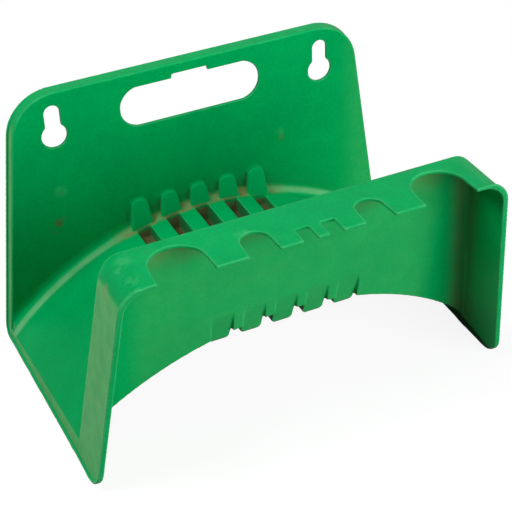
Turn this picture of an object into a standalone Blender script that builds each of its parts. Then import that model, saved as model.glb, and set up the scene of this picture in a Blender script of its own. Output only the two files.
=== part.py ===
"""Wall mounted hose hanger: one thin-walled plastic moulding, built as its named panels.

The hanger is a single shot of polypropylene.  It is modelled the way its mould makes it:
a solid outside form, less the cores that hollow it, all with one wall thickness.  The
finished moulding is then divided into its panels by fine kerfs, so that each panel is an
object of its own.  Sizes are in millimetres and become metres when a mesh is made.

While it is modelled, Y = 0 is the wall, -Y is towards the user, and Z = 0 is the crown of
the saddle.  Last of all, everything moves so that the origin is the middle of the rim's
top edge, on the wall.
"""

import math

import bmesh
import bpy
from mathutils import Matrix, Vector

MM = 0.001

# The moulding
WALL = 2.3                # wall thickness, the same everywhere
KERF = 0.3                # gap that parts one panel from the next
STEP_IN = 0.05            # the side bands meet the pan this much inside its face
OVERCUT = 4.0             # how far a cutter runs past what it cuts
TRIM = 1.0                # the same, where it only trims a slanted end
LEAST_R = 0.5             # smallest radius of an inside corner
ROUND_END = 0.98          # share of a slot's half width that its end is rounded by
ARC_STEP = math.radians(9)  # largest facet of the other radii
ARCH_STEPS = 32           # facets across the saddle's arc
SHOULDER_STEPS = 5        # facets of the saddle's rounded side edges
BEND_STEPS = 9            # facets of the rail's bent ends
MERGE = 0.002             # points closer than this are one point
FAR = 300.0               # past every face of the hanger

# Back box, the tray that stands on the wall
BACK_DEPTH = 9.0          # wall to the front face of the back panel
BACK_TOP = 100.5
BACK_TOP_HALF = 111.2     # half width at BACK_TOP
BACK_CORNER_R = 28.4
BACK_EDGE_R = 2.6         # rounding between the panel and the rim
LIP = 1.2                 # how far the lip round the moulding's open edge stands out
LIP_DEPTH = 2.0           # how thick the lip is
LIP_DROP = 0.4            # the lip stops this far below the top of the rail

# Keyholes and hand slot
KEYHOLE_X = 88.4
KEYHOLE_Z = 73.0          # centre of the round part
KEYHOLE_R = 7.9
KEYSLOT_HALF = 4.8
KEYSLOT_RISE = 15.4       # round part's centre to the centre of the slot's top
HANDSLOT_Z = 78.8
HANDSLOT_HALF = 46.0
HANDSLOT_R = 13.2
SLOT_STEP_HALF = 11.6     # the shallow notch in the slot's top edge
SLOT_STEP_RISE = 2.7
SLOT_STEP_R = 0.8

# Saddle
SADDLE_R = 184.3          # top surface
SADDLE_ROOT_R = 7.0       # fillet against the back panel
SADDLE_ROOT_SINK = 0.5    # how far the fillet reaches into the walls that it joins
BAND_BOTTOM = -66.4       # lower edge of the side bands, at the front
BAND_RISE = 3.4           # how much higher it is at the wall
BACK_BOTTOM_HALF = 134.0  # half width at BAND_BOTTOM, against the wall
BAND_SHOULDER_R = 5.0     # side edge of the saddle, rounded down into the band
REAR_FOOT_R = 8.0         # side view: corner of wall and lower edge
FRONT_FOOT_R = 17.0       # side view: corner of lower edge and front edge

# Front pan
RAIL_TOP = 80.3
PLATE_TOP_Y = -151.4      # front face of the front plate at RAIL_TOP
PLATE_LEAN = 0.175        # how far it comes back per millimetre down
FRONT_TOP_HALF = 112.5    # half width at RAIL_TOP
FRONT_BOTTOM_HALF = 131.4  # half width at BAND_BOTTOM
RAIL_DEPTH = 34.9         # front plate to front edge, at RAIL_TOP
RAIL_FRONT_Y = PLATE_TOP_Y - RAIL_DEPTH
EDGE_LEAN = 0.155         # how far the front edge comes back per millimetre down
PAN_CORNER_R = 6.2        # plan view: front plate to end flange, outside
RAIL_EDGE_R = 2.5         # side view: front plate to rail, outside
RAIL_END_R = 17.5         # front view: rail to end flange, outside

# Tool notches in the rail's front edge, each side of the middle
BIG_NOTCH_X = 77.2
BIG_NOTCH_R = 15.6
BIG_MOUTH_HALF = 16.4
ROUND_NOTCH_IN = 12.9     # front edge to the centre of the round notches
ROUND_NOTCH_Y = RAIL_FRONT_Y + ROUND_NOTCH_IN
MID_NOTCH_X = 33.8
MID_NOTCH_R = 8.2
MID_MOUTH_HALF = 9.2
SMALL_NOTCH_X = 7.5
SMALL_NOTCH_HALF = 4.1
SMALL_NOTCH_DEPTH = 12.3

# Corrugation: channels across the saddle, each with a tab behind and a flute in front
CHANNELS = 5
CHANNEL_PITCH = 20.1
CHANNEL_HALF = 7.0        # outside, at the underside
CHANNEL_DRAFT = 0.8       # how much narrower the floor is than the mouth
CHANNEL_FOOT_Z = -13.4    # underside of the channels
CHANNEL_FOOT_R = 2.8
TAB_TOP_Z = 14.8
TAB_FOOT_Z = -8.0         # a tab's outside ends here, within its channel's
TAB_HALF = 5.2            # outside, at the top
TAB_FLARE = 0.11          # how much wider each side gets per millimetre down
TAB_TOP_STEP = 2.6        # how far a tab stands out from the panel at its top
TAB_LEAN = 0.17           # how much further it stands out per millimetre down
TAB_CORNER_R = 4.5
FLUTE_TOP_Z = 10.0
FLUTE_LEAN = 0.37         # how far a flute's face comes back per millimetre down
GUSSET_WALL = 1.5         # side wall of the swelling behind a flute
GUSSET_FOOT_Z = -9.0      # the swelling reaches this low, less what the saddle trims off

# Where the kerfs run
SADDLE_UPSTAND = 10.0     # strip of back panel that stays with the saddle
TAB_MARGIN = 3.0          # strip of back panel that stays round the tabs
RIM_STRIP = 3.0           # strip of back panel that stays with the rim
PLATE_RETURN = 9.0        # strip of saddle that stays with the front plate
PLATE_STRIP = 5.0         # strip of rail and end flanges that stays with the front plate
RAIL_DROP = 3.0           # straight part of the rail's ends below their bends

PLASTIC = "green_polypropylene"
PLASTIC_COLOUR = (0.0, 0.30, 0.08, 1.0)
PLASTIC_ROUGHNESS = 0.45


def back_half(z):
    """Half width of the back box at height z."""
    slope = (BACK_BOTTOM_HALF - BACK_TOP_HALF) / (BACK_TOP - BAND_BOTTOM)
    return BACK_TOP_HALF + slope * (BACK_TOP - z)


def front_half(z):
    """Half width of the front pan at height z."""
    slope = (FRONT_BOTTOM_HALF - FRONT_TOP_HALF) / (RAIL_TOP - BAND_BOTTOM)
    return FRONT_TOP_HALF + slope * (RAIL_TOP - z)


def plate_y(z):
    """Front face of the front plate at height z."""
    return PLATE_TOP_Y + PLATE_LEAN * (RAIL_TOP - z)


def edge_y(z):
    """Front edge of the rail and end flanges at height z."""
    return RAIL_FRONT_Y + EDGE_LEAN * (RAIL_TOP - z)


def tab_y(z):
    """Front face of the tabs, and rear end of the channels, at height z."""
    return -BACK_DEPTH - TAB_TOP_STEP - TAB_LEAN * (TAB_TOP_Z - z)


def flute_y(z):
    """Front face of the flutes, and outside front end of the channels, at height z."""
    return plate_y(FLUTE_TOP_Z) + FLUTE_LEAN * (FLUTE_TOP_Z - z)


def channel_xs():
    """Centre of each channel across the saddle."""
    middle = (CHANNELS - 1) / 2
    return [CHANNEL_PITCH * (i - middle) for i in range(CHANNELS)]


def rounded(points, facets=0):
    """Outline through (a, b, radius) corners, each corner replaced by its arc."""
    out = []
    count = len(points)
    for i, (a, b, radius) in enumerate(points):
        here = Vector((a, b))
        if radius <= 0:
            out.append(here)
            continue
        before = (Vector(points[i - 1][:2]) - here).normalized()
        after = (Vector(points[(i + 1) % count][:2]) - here).normalized()
        half = before.angle(after) / 2
        centre = here + (before + after).normalized() * (radius / math.sin(half))
        start = here + before * (radius / math.tan(half)) - centre
        sweep = start.angle_signed(here + after * (radius / math.tan(half)) - centre)
        steps = facets or max(2, math.ceil(abs(sweep) / ARC_STEP))
        for k in range(steps + 1):
            out.append(centre + Matrix.Rotation(-sweep * k / steps, 2) @ start)
    return out


def mesh_object(name, verts, faces):
    """Object of a closed mesh given in millimetres, with its faces turned outwards."""
    mesh = bpy.data.meshes.new(name)
    mesh.from_pydata([[c * MM for c in v] for v in verts], [], faces)
    bm = bmesh.new()
    bm.from_mesh(mesh)
    bmesh.ops.remove_doubles(bm, verts=bm.verts, dist=MERGE * MM)
    bmesh.ops.recalc_face_normals(bm, faces=bm.faces)
    bmesh.ops.triangulate(bm, faces=bm.faces, ngon_method="EAR_CLIP")
    bm.to_mesh(mesh)
    bm.free()
    obj = bpy.data.objects.new(name, mesh)
    bpy.context.scene.collection.objects.link(obj)
    return obj


def loft(name, loops):
    """Solid skinned over loops of equal length, with both ends closed."""
    size = len(loops[0])
    verts = [v for loop in loops for v in loop]
    faces = [list(range(size))]
    faces.append(list(range(len(verts) - size, len(verts))))
    for j in range(len(loops) - 1):
        for i in range(size):
            k = (i + 1) % size
            faces.append([j * size + i, j * size + k, (j + 1) * size + k])
            faces.append([j * size + i, (j + 1) * size + k, (j + 1) * size + i])
    return mesh_object(name, verts, faces)


def along_y(outline, y0, y1):
    """Solid from an (x, z) outline, between two depths."""
    return loft("along_y", [[(a, y, b) for a, b in outline] for y in (y0, y1)])


def along_x(outline, x0, x1):
    """Solid from a (y, z) outline, between two places across the width."""
    return loft("along_x", [[(x, a, b) for a, b in outline] for x in (x0, x1)])


def along_z(outline, z0, z1):
    """Solid from an (x, y) outline, between two heights."""
    return loft("along_z", [[(a, b, z) for a, b in outline] for z in (z0, z1)])


def box(x0, x1, y0, y1, z0, z1):
    """Plain box."""
    return along_z([(x0, y0), (x1, y0), (x1, y1), (x0, y1)], z0, z1)


def combine(target, operation, tool):
    """Apply one boolean to target, and drop the tool."""
    modifier = target.modifiers.new("combine", "BOOLEAN")
    modifier.operation = operation
    modifier.solver = "MANIFOLD"
    modifier.object = tool
    bpy.context.view_layer.update()
    graph = bpy.context.evaluated_depsgraph_get()
    result = bpy.data.meshes.new_from_object(target.evaluated_get(graph))
    target.modifiers.clear()
    old = target.data
    target.data = result
    bpy.data.meshes.remove(old)
    discard(tool)
    return target


def join(target, *tools):
    """Add each tool to target."""
    for tool in tools:
        combine(target, "UNION", tool)
    return target


def cut(target, *tools):
    """Take each tool away from target."""
    for tool in tools:
        combine(target, "DIFFERENCE", tool)
    return target


def common(target, *tools):
    """Keep what target shares with each tool."""
    for tool in tools:
        combine(target, "INTERSECT", tool)
    return target


def discard(obj):
    """Remove an object together with its mesh."""
    mesh = obj.data
    bpy.data.objects.remove(obj)
    bpy.data.meshes.remove(mesh)


def copy_of(obj, name):
    """Second object with a mesh of its own."""
    twin = bpy.data.objects.new(name, obj.data.copy())
    bpy.context.scene.collection.objects.link(twin)
    return twin


def back_outline(inset, bottom):
    """Front view of the back box, moved in by inset and cut off level at bottom."""
    top = BACK_TOP - inset
    corner = max(BACK_CORNER_R - inset, LEAST_R)
    return rounded([
        (-back_half(bottom) + inset, bottom, 0),
        (-back_half(top) + inset, top, corner),
        (back_half(top) - inset, top, corner),
        (back_half(bottom) - inset, bottom, 0),
    ])


def back_form(inset, bottom, front, rear):
    """Back box with its front edges rounded, or the core that hollows it."""
    radius = max(BACK_EDGE_R - inset, LEAST_R)
    steps = 3
    loops = []
    for k in range(steps + 1):
        turn = math.pi / 2 * k / steps
        tuck = radius * (1 - math.sin(turn))
        y = front + radius * (1 - math.cos(turn))
        loops.append([(a, y, b) for a, b in back_outline(inset + tuck, bottom)])
    loops.append([(a, rear, b) for a, b in back_outline(inset, bottom)])
    return loft("back_form", loops)


def arch(radius, floor):
    """(x, z) outline below an arc about the saddle's centre, down to floor."""
    reach = BACK_BOTTOM_HALF + 2 * OVERCUT
    turn = math.asin(reach / SADDLE_R)
    points = []
    for k in range(ARCH_STEPS + 1):
        angle = turn * (2 * k / ARCH_STEPS - 1)
        points.append((radius * math.sin(angle), radius * math.cos(angle) - SADDLE_R))
    return [(-reach, floor)] + points + [(reach, floor)]


def band_half(y, z):
    """Half width over the side bands, from the back box to just inside the pan's sides."""
    near = front_half(z) - STEP_IN
    return back_half(z) + (near - back_half(z)) * y / plate_y(BAND_BOTTOM)


def band_block(inset, bottom, top=2 * OVERCUT):
    """Block with the side bands' tapered faces, moved in by inset."""
    loops = []
    for y in (OVERCUT, PLATE_TOP_Y):
        left = [(-band_half(y, z) + inset, y, z) for z in (bottom, top)]
        loops.append(left + [(-x, y, z) for x, y, z in reversed(left)])
    return loft("band_block", loops)


def saddle_outline(y, inset, bottom):
    """Front view of the saddle at depth y: the arc, rounded down into the side bands."""
    radius = SADDLE_R - inset
    turn = math.asin((band_half(y, BAND_BOTTOM / 2) - inset) / radius)
    for _ in range(8):
        height = radius * math.cos(turn) - SADDLE_R
        turn = math.asin((band_half(y, height) - inset) / radius)
    points = [(-band_half(y, bottom) + inset, bottom, 0)]
    for k in range(ARCH_STEPS + 1):
        angle = turn * (2 * k / ARCH_STEPS - 1)
        shoulder = max(BAND_SHOULDER_R - inset, LEAST_R) if k in (0, ARCH_STEPS) else 0
        points.append((radius * math.sin(angle), radius * math.cos(angle) - SADDLE_R, shoulder))
    points.append((band_half(y, bottom) - inset, bottom, 0))
    return [(x, y, z) for x, z in rounded(points, SHOULDER_STEPS)]


def saddle_form(inset, bottom, front):
    """Everything below the saddle's surface, moved in by inset, as far as front(z)."""
    body = loft("saddle_form", [saddle_outline(y, inset, bottom) for y in (OVERCUT, PLATE_TOP_Y)])
    return common(body, between(lambda z: OVERCUT / 2, front, -FAR, FAR, 0, FAR))


def pan_outline(depth, inset):
    """Front view of the pan, this far in front of its rear face, as (x, y, z)."""
    side_r = max(PAN_CORNER_R - inset, LEAST_R)
    edge_r = max(RAIL_EDGE_R - inset, LEAST_R)
    side = inset + side_r - math.sqrt(max(side_r ** 2 - max(side_r - depth, 0) ** 2, 0))
    top = RAIL_TOP - inset - edge_r + math.sqrt(max(edge_r ** 2 - max(edge_r - depth, 0) ** 2, 0))
    low = BAND_BOTTOM - FRONT_FOOT_R
    outline = rounded([
        (-front_half(low) + side, low, 0),
        (-front_half(top) + side, top, RAIL_END_R - inset),
        (front_half(top) - side, top, RAIL_END_R - inset),
        (front_half(low) - side, low, 0),
    ], BEND_STEPS)
    return [(x, plate_y(z) + WALL - inset - depth, z) for x, z in outline]


def pan_form(inset):
    """Front pan as a solid with its rear edges rounded, or the core that hollows it."""
    steps = 6
    depths = [PAN_CORNER_R * (1 - math.cos(math.pi / 2 * k / steps)) for k in range(steps + 1)]
    depths.append(PLATE_TOP_Y - RAIL_FRONT_Y + 6 * OVERCUT)
    return loft("pan_form", [pan_outline(depth, inset) for depth in depths])


def side_view(inset=0.0):
    """(y, z) outline that trims the whole moulding, with its rounded feet."""
    high = BACK_TOP + 2 * OVERCUT
    return rounded([
        (-inset, high, 0),
        (-inset, BAND_BOTTOM + BAND_RISE + inset, REAR_FOOT_R - inset),
        (edge_y(BAND_BOTTOM) + inset, BAND_BOTTOM + inset, FRONT_FOOT_R - inset),
        (edge_y(high) + inset, high, 0),
    ])


def lip():
    """Lip all round the moulding's open edge, except along the top of the rail."""
    low = BAND_BOTTOM - OVERCUT
    rim = back_form(-LIP, low, -LIP_DEPTH - OVERCUT, OVERCUT)
    join(rim, band_block(-LIP, low), pan_form(-LIP))
    cut(rim, along_x(side_view(LIP_DEPTH), -FAR, FAR))
    cut(rim, back_form(WALL / 2, low - OVERCUT, -BACK_DEPTH, 2 * OVERCUT))
    cut(rim, band_block(WALL / 2, low - OVERCUT, 3 * OVERCUT), pan_form(WALL / 2))
    return cut(rim, box(-FAR, FAR, -FAR, PLATE_TOP_Y, RAIL_TOP - LIP_DROP, FAR))


def keyhole(x):
    """Cutter for one keyhole: the screw head enters the round, its neck the slot."""
    top = KEYHOLE_Z + KEYSLOT_RISE + KEYSLOT_HALF
    slot = rounded([
        (x - KEYSLOT_HALF, KEYHOLE_Z, 0),
        (x - KEYSLOT_HALF, top, KEYSLOT_HALF * ROUND_END),
        (x + KEYSLOT_HALF, top, KEYSLOT_HALF * ROUND_END),
        (x + KEYSLOT_HALF, KEYHOLE_Z, 0),
    ])
    steps = 28
    circle = []
    for k in range(steps):
        turn = 2 * math.pi * k / steps
        circle.append((x + KEYHOLE_R * math.cos(turn), KEYHOLE_Z + KEYHOLE_R * math.sin(turn)))
    near = -BACK_DEPTH - OVERCUT
    return join(along_y(circle, near, 0), along_y(slot, near, 0))


def hand_slot():
    """Cutter for the hand slot, with the shallow notch in its top edge."""
    radius = HANDSLOT_R * ROUND_END
    low = HANDSLOT_Z - HANDSLOT_R
    high = HANDSLOT_Z + HANDSLOT_R
    step = high + SLOT_STEP_RISE
    outline = rounded([
        (-HANDSLOT_HALF, low, radius),
        (-HANDSLOT_HALF, high, radius),
        (-SLOT_STEP_HALF, high, 0),
        (-SLOT_STEP_HALF, step, SLOT_STEP_R),
        (SLOT_STEP_HALF, step, SLOT_STEP_R),
        (SLOT_STEP_HALF, high, 0),
        (HANDSLOT_HALF, high, radius),
        (HANDSLOT_HALF, low, radius),
    ])
    return along_y(outline, -BACK_DEPTH - OVERCUT, 0)


def round_notch(x, radius, mouth_half):
    """Cutter for a round-ended notch in the rail."""
    points = [(x - mouth_half, RAIL_FRONT_Y - OVERCUT)]
    steps = 16
    for k in range(steps + 1):
        turn = math.pi * (1 - k / steps)
        points.append((x + radius * math.cos(turn), ROUND_NOTCH_Y + radius * math.sin(turn)))
    points.append((x + mouth_half, RAIL_FRONT_Y - OVERCUT))
    return along_z(points, RAIL_TOP - WALL - OVERCUT, RAIL_TOP + OVERCUT)


def square_notch(x):
    """Cutter for a small square notch in the rail."""
    front = RAIL_FRONT_Y - OVERCUT
    rear = RAIL_FRONT_Y + SMALL_NOTCH_DEPTH
    low = RAIL_TOP - WALL - OVERCUT
    return box(x - SMALL_NOTCH_HALF, x + SMALL_NOTCH_HALF, front, rear, low, RAIL_TOP + OVERCUT)


def rib_section(x, half, foot, top, foot_r, top_r):
    """(x, z) section of a channel or flute about x."""
    return rounded([
        (x - half + CHANNEL_DRAFT / 2, foot, foot_r),
        (x - half, top, top_r),
        (x + half, top, top_r),
        (x + half - CHANNEL_DRAFT / 2, foot, foot_r),
    ])


def between(rear, front, foot, top, x, half):
    """Solid across x, whose rear and front ends follow two functions of height."""
    outline = [(rear(foot), foot), (rear(top), top), (front(top), top), (front(foot), foot)]
    return along_x(outline, x - half - OVERCUT, x + half + OVERCUT)


def channel_skin(x):
    """Outside of one channel, below the saddle."""
    high = 2 * OVERCUT
    body = along_y(rib_section(x, CHANNEL_HALF, CHANNEL_FOOT_Z, high, CHANNEL_FOOT_R, 0), 0, -FAR)
    low = CHANNEL_FOOT_Z - TRIM
    ends = between(lambda z: tab_y(z) + WALL, flute_y, low, high + TRIM, x, CHANNEL_HALF)
    under_saddle = along_y(arch(SADDLE_R - WALL / 2, -FAR), OVERCUT, -FAR)
    return common(body, ends, under_saddle)


def channel_core(x):
    """Inside of one channel, open to the hose."""
    half = CHANNEL_HALF - WALL
    floor = CHANNEL_FOOT_Z + WALL
    floor_r = max(CHANNEL_FOOT_R - WALL, LEAST_R)
    body = along_y(rib_section(x, half, floor, TAB_TOP_Z, floor_r, 0), 0, -FAR)
    front = lambda z: flute_y(z) + WALL
    return common(body, between(tab_y, front, floor - TRIM, TAB_TOP_Z + TRIM, x, half))


def tab_section(x, inset, foot):
    """(x, z) section of a tab about x, moved in by inset, wider towards its foot."""
    half = TAB_HALF - inset
    top = TAB_TOP_Z - inset
    low_half = half + TAB_FLARE * (top - foot)
    corner = TAB_CORNER_R - inset
    return rounded([
        (x - low_half, foot, 0),
        (x - half, top, corner),
        (x + half, top, corner),
        (x + low_half, foot, 0),
    ])


def tab_skin(x):
    """Outside of the tab that closes a channel's rear end."""
    body = along_y(tab_section(x, 0, CHANNEL_FOOT_Z), 0, -FAR)
    rear = -BACK_DEPTH + WALL / 2
    reach = 2 * CHANNEL_HALF
    return common(body, between(lambda z: rear, tab_y, TAB_FOOT_Z, TAB_TOP_Z + TRIM, x, reach))


def tab_core(x):
    """Hollow behind a tab, open to the wall."""
    low = CHANNEL_FOOT_Z - TRIM
    body = along_y(tab_section(x, WALL, low), 0, -FAR)
    rear = -BACK_DEPTH + WALL
    front = lambda z: tab_y(z) + WALL
    reach = 2 * CHANNEL_HALF
    return common(body, between(lambda z: rear, front, low - TRIM, TAB_TOP_Z, x, reach))


def gusset_skin(x):
    """Swelling on the rear of the front plate that keeps the wall behind a flute."""
    half = CHANNEL_HALF + GUSSET_WALL
    top = FLUTE_TOP_Z + 2 * WALL
    body = along_y(rib_section(x, half, GUSSET_FOOT_Z, top, 0, TAB_CORNER_R), 0, -FAR)
    rear = lambda z: flute_y(z) + WALL
    front = lambda z: plate_y(z) + WALL / 2
    common(body, between(rear, front, GUSSET_FOOT_Z - TRIM, top + TRIM, x, half))
    return cut(body, along_y(arch(SADDLE_R - WALL, -FAR), OVERCUT, -FAR))


def flute_core(x):
    """Recess in the front face of the front plate, deeper towards its foot."""
    low = CHANNEL_FOOT_Z - OVERCUT
    high = FLUTE_TOP_Z + OVERCUT
    body = along_y(rib_section(x, CHANNEL_HALF, low, high, 0, 0), 0, -FAR)
    front = lambda z: plate_y(z) - OVERCUT
    return common(body, between(flute_y, front, low - OVERCUT, high + OVERCUT, x, CHANNEL_HALF))


def root_fillet(radius):
    """Fillet between the saddle and the back panel, swept round the saddle's arc."""
    face = -BACK_DEPTH
    low = SADDLE_R - SADDLE_ROOT_SINK
    deep = face + SADDLE_ROOT_SINK
    section = [(low, deep), (SADDLE_R + radius, deep)]
    steps = 5
    for k in range(steps + 1):
        turn = math.pi / 2 * k / steps
        section.append((
            SADDLE_R + radius * (1 - math.sin(turn)),
            face - radius * (1 - math.cos(turn)),
        ))
    section.append((low, face - radius))
    reach = math.asin((BACK_BOTTOM_HALF + OVERCUT) / SADDLE_R)
    loops = []
    for k in range(ARCH_STEPS + 1):
        angle = reach * (2 * k / ARCH_STEPS - 1)
        loops.append([
            (r * math.sin(angle), y, r * math.cos(angle) - SADDLE_R) for r, y in section
        ])
    fillet = loft("root_fillet", loops)
    return common(fillet, band_block(WALL / 2, -FAR))


def back_core():
    """Hollow of the back box, open to the wall and bounded below by the saddle."""
    core = back_form(WALL, BAND_BOTTOM, -BACK_DEPTH + WALL, OVERCUT)
    return cut(core, along_y(arch(SADDLE_R, -FAR), 2 * OVERCUT, -FAR))


def saddle_core():
    """Hollow under the saddle: open below, to the wall and through the front plate."""
    return saddle_form(WALL, BAND_BOTTOM - 2 * OVERCUT, lambda z: plate_y(z) - OVERCUT)


def moulding():
    """The whole hanger, as it comes out of its tool."""
    low = BAND_BOTTOM - OVERCUT
    body = back_form(0, low, -BACK_DEPTH, OVERCUT)
    join(body, saddle_form(0, low, lambda z: plate_y(z) - PAN_CORNER_R))
    join(body, pan_form(0), lip())
    cut(body, back_core(), saddle_core(), pan_form(WALL))
    common(body, along_x(side_view(), -FAR, FAR))
    join(body, root_fillet(SADDLE_ROOT_R))
    for x in channel_xs():
        join(body, channel_skin(x), tab_skin(x), gusset_skin(x))
    for x in channel_xs():
        cut(body, channel_core(x), tab_core(x), flute_core(x))
    cut(body, keyhole(-KEYHOLE_X), keyhole(KEYHOLE_X), hand_slot())
    for side in (-1, 1):
        cut(body, round_notch(side * BIG_NOTCH_X, BIG_NOTCH_R, BIG_MOUTH_HALF))
        cut(body, round_notch(side * MID_NOTCH_X, MID_NOTCH_R, MID_MOUTH_HALF))
        cut(body, square_notch(side * SMALL_NOTCH_X))
    body.name = "moulding"
    return body


def in_front_of(offset):
    """Everything in front of a plane that follows the front plate at this offset."""
    return between(lambda z: plate_y(z) + offset, lambda z: -2 * FAR, -FAR, FAR, 0, FAR)


def below(height):
    """Everything below a height."""
    return box(-FAR, FAR, -2 * FAR, FAR, -FAR, height)


def saddle_zone(play):
    """What belongs to the saddle in the back panel's plane, grown by play."""
    half = channel_xs()[-1] + CHANNEL_HALF + TAB_MARGIN + play
    top = TAB_TOP_Z + TAB_MARGIN + play
    zone = along_y(arch(SADDLE_R + SADDLE_UPSTAND + play, -FAR), 2 * OVERCUT, -FAR)
    return join(zone, box(-half, half, -3 * BACK_DEPTH, OVERCUT, 0, top))


def panel_zone(inset):
    """What lies within the back box's outline, moved in by inset."""
    return along_y(back_outline(inset, BAND_BOTTOM - OVERCUT), -BACK_DEPTH - OVERCUT, OVERCUT)


def panels(body):
    """The moulding's panels, parted by the kerfs."""
    rear = PLATE_RETURN + WALL
    names = (
        "back_panel", "wall_rim", "hose_saddle", "front_plate",
        "tool_rail", "left_end_flange", "right_end_flange",
    )
    part = {name: copy_of(body, name) for name in names}
    common(part["back_panel"], panel_zone(RIM_STRIP + KERF))
    cut(part["back_panel"], saddle_zone(KERF))
    cut(part["wall_rim"], in_front_of(rear), panel_zone(RIM_STRIP), saddle_zone(KERF))
    cut(part["hose_saddle"], in_front_of(rear + KERF))
    common(part["hose_saddle"], saddle_zone(0))
    common(part["front_plate"], in_front_of(rear))
    cut(part["front_plate"], in_front_of(KERF - PLATE_STRIP))
    for name in ("tool_rail", "left_end_flange", "right_end_flange"):
        common(part[name], in_front_of(-PLATE_STRIP))
    rail_foot = RAIL_TOP - RAIL_END_R - RAIL_DROP
    cut(part["tool_rail"], below(rail_foot))
    for name, side in (("left_end_flange", -1), ("right_end_flange", 1)):
        common(part[name], below(rail_foot - KERF))
        ends = sorted((0, side * FAR))
        common(part[name], box(*ends, -FAR, 0, -FAR, FAR))
    discard(body)
    return list(part.values())


def plastic(name):
    """Satin green polypropylene."""
    material = bpy.data.materials.new(name)
    material.use_nodes = True
    shader = material.node_tree.nodes["Principled BSDF"]
    shader.inputs["Base Color"].default_value = PLASTIC_COLOUR
    shader.inputs["Roughness"].default_value = PLASTIC_ROUGHNESS
    shader.inputs["Metallic"].default_value = 0.0
    return material


def main():
    """Build the moulding, part it into its panels and put the origin at the wall mount."""
    for obj in list(bpy.data.objects):
        bpy.data.objects.remove(obj)
    to_mount = Matrix.Translation((0, 0, -BACK_TOP * MM))
    for obj in panels(moulding()):
        obj.data.transform(to_mount)
        obj.data.name = obj.name
        obj.data.materials.append(plastic(obj.name + "_" + PLASTIC))


main()
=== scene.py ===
"""Looks of the wall mounted hose hanger: one green plastic moulding.

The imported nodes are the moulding's panels, parted by kerfs.  Here the moulding is built
again the same way without its kerfs, and it stands for all of the panels.  Its facets
are finer and its edges are slightly rounded.  Its own refinements are the back box's
sharper edge, the rim's level top and the closing radius of the rail's ends.  Sizes are
in millimetres, and the moulding's own frame has Y = 0 on the wall and Z = 0 at the
crown of the saddle.
"""

import math

import bmesh
import bpy
from mathutils import Matrix, Vector

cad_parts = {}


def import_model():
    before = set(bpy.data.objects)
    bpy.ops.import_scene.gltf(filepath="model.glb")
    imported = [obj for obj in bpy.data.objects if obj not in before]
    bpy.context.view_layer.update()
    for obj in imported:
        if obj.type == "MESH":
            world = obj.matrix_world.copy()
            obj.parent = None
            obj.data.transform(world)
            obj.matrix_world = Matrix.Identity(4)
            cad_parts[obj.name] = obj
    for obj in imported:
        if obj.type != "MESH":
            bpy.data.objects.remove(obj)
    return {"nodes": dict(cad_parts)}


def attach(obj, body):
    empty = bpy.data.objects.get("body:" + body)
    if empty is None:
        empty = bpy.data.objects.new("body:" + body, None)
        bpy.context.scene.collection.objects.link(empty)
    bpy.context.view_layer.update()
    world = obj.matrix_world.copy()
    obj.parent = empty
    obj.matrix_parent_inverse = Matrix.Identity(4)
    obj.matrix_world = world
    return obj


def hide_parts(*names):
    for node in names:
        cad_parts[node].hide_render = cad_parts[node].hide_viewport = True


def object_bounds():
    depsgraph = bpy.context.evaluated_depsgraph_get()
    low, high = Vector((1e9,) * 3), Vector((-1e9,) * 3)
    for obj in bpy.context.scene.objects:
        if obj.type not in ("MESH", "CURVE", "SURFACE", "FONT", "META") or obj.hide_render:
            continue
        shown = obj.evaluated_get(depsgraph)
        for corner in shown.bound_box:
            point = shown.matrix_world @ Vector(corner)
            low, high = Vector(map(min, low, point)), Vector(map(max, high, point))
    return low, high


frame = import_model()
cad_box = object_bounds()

MM = 0.001

# The moulding
WALL = 2.3                # wall thickness of the panels
STEP_IN = 0.05            # the side bands meet the pan this much inside its face
OVERCUT = 4.0             # how far a cutter runs past what it cuts
TRIM = 1.0                # the same, where it only trims a slanted end
LEAST_R = 0.5             # smallest radius of an inside corner
ROUND_END = 0.98          # share of a slot's half width that its end is rounded by
ARC_STEP = math.radians(4)  # largest facet of the other radii
ARCH_STEPS = 96           # facets across the saddle's arc
SHOULDER_STEPS = 10       # facets of the saddle's rounded side edges
BEND_STEPS = 18           # facets of the rail's bent ends
SETTLING = 8              # rounds in which the saddle's side edges find their place
MERGE = 0.002             # points closer than this are one point
FAR = 300.0               # past every face of the hanger

# Back box, the tray that stands on the wall
BACK_DEPTH = 9.0          # wall to the front face of the back panel
BACK_TOP = 100.5
BACK_TOP_HALF = 111.2     # half width at BACK_TOP
BACK_CORNER_R = 28.4
BACK_EDGE_R = 1.0         # rounding between the panel and the rim
LIP = 1.2                 # how far the lip round the moulding's open edge stands out
LIP_DEPTH = 2.0           # how thick the lip is
LIP_DROP = 0.4            # the lip stops this far below the top of the rail

# Keyholes and hand slot
KEYHOLE_X = 88.4
KEYHOLE_Z = 73.0          # centre of the round part
KEYHOLE_R = 7.9
KEYSLOT_HALF = 4.8
KEYSLOT_RISE = 15.4       # round part's centre to the centre of the slot's top
HANDSLOT_Z = 78.8
HANDSLOT_HALF = 46.0
HANDSLOT_R = 13.2
SLOT_STEP_HALF = 11.6     # the shallow notch in the slot's top edge
SLOT_STEP_RISE = 2.7
SLOT_STEP_R = 0.8

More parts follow.
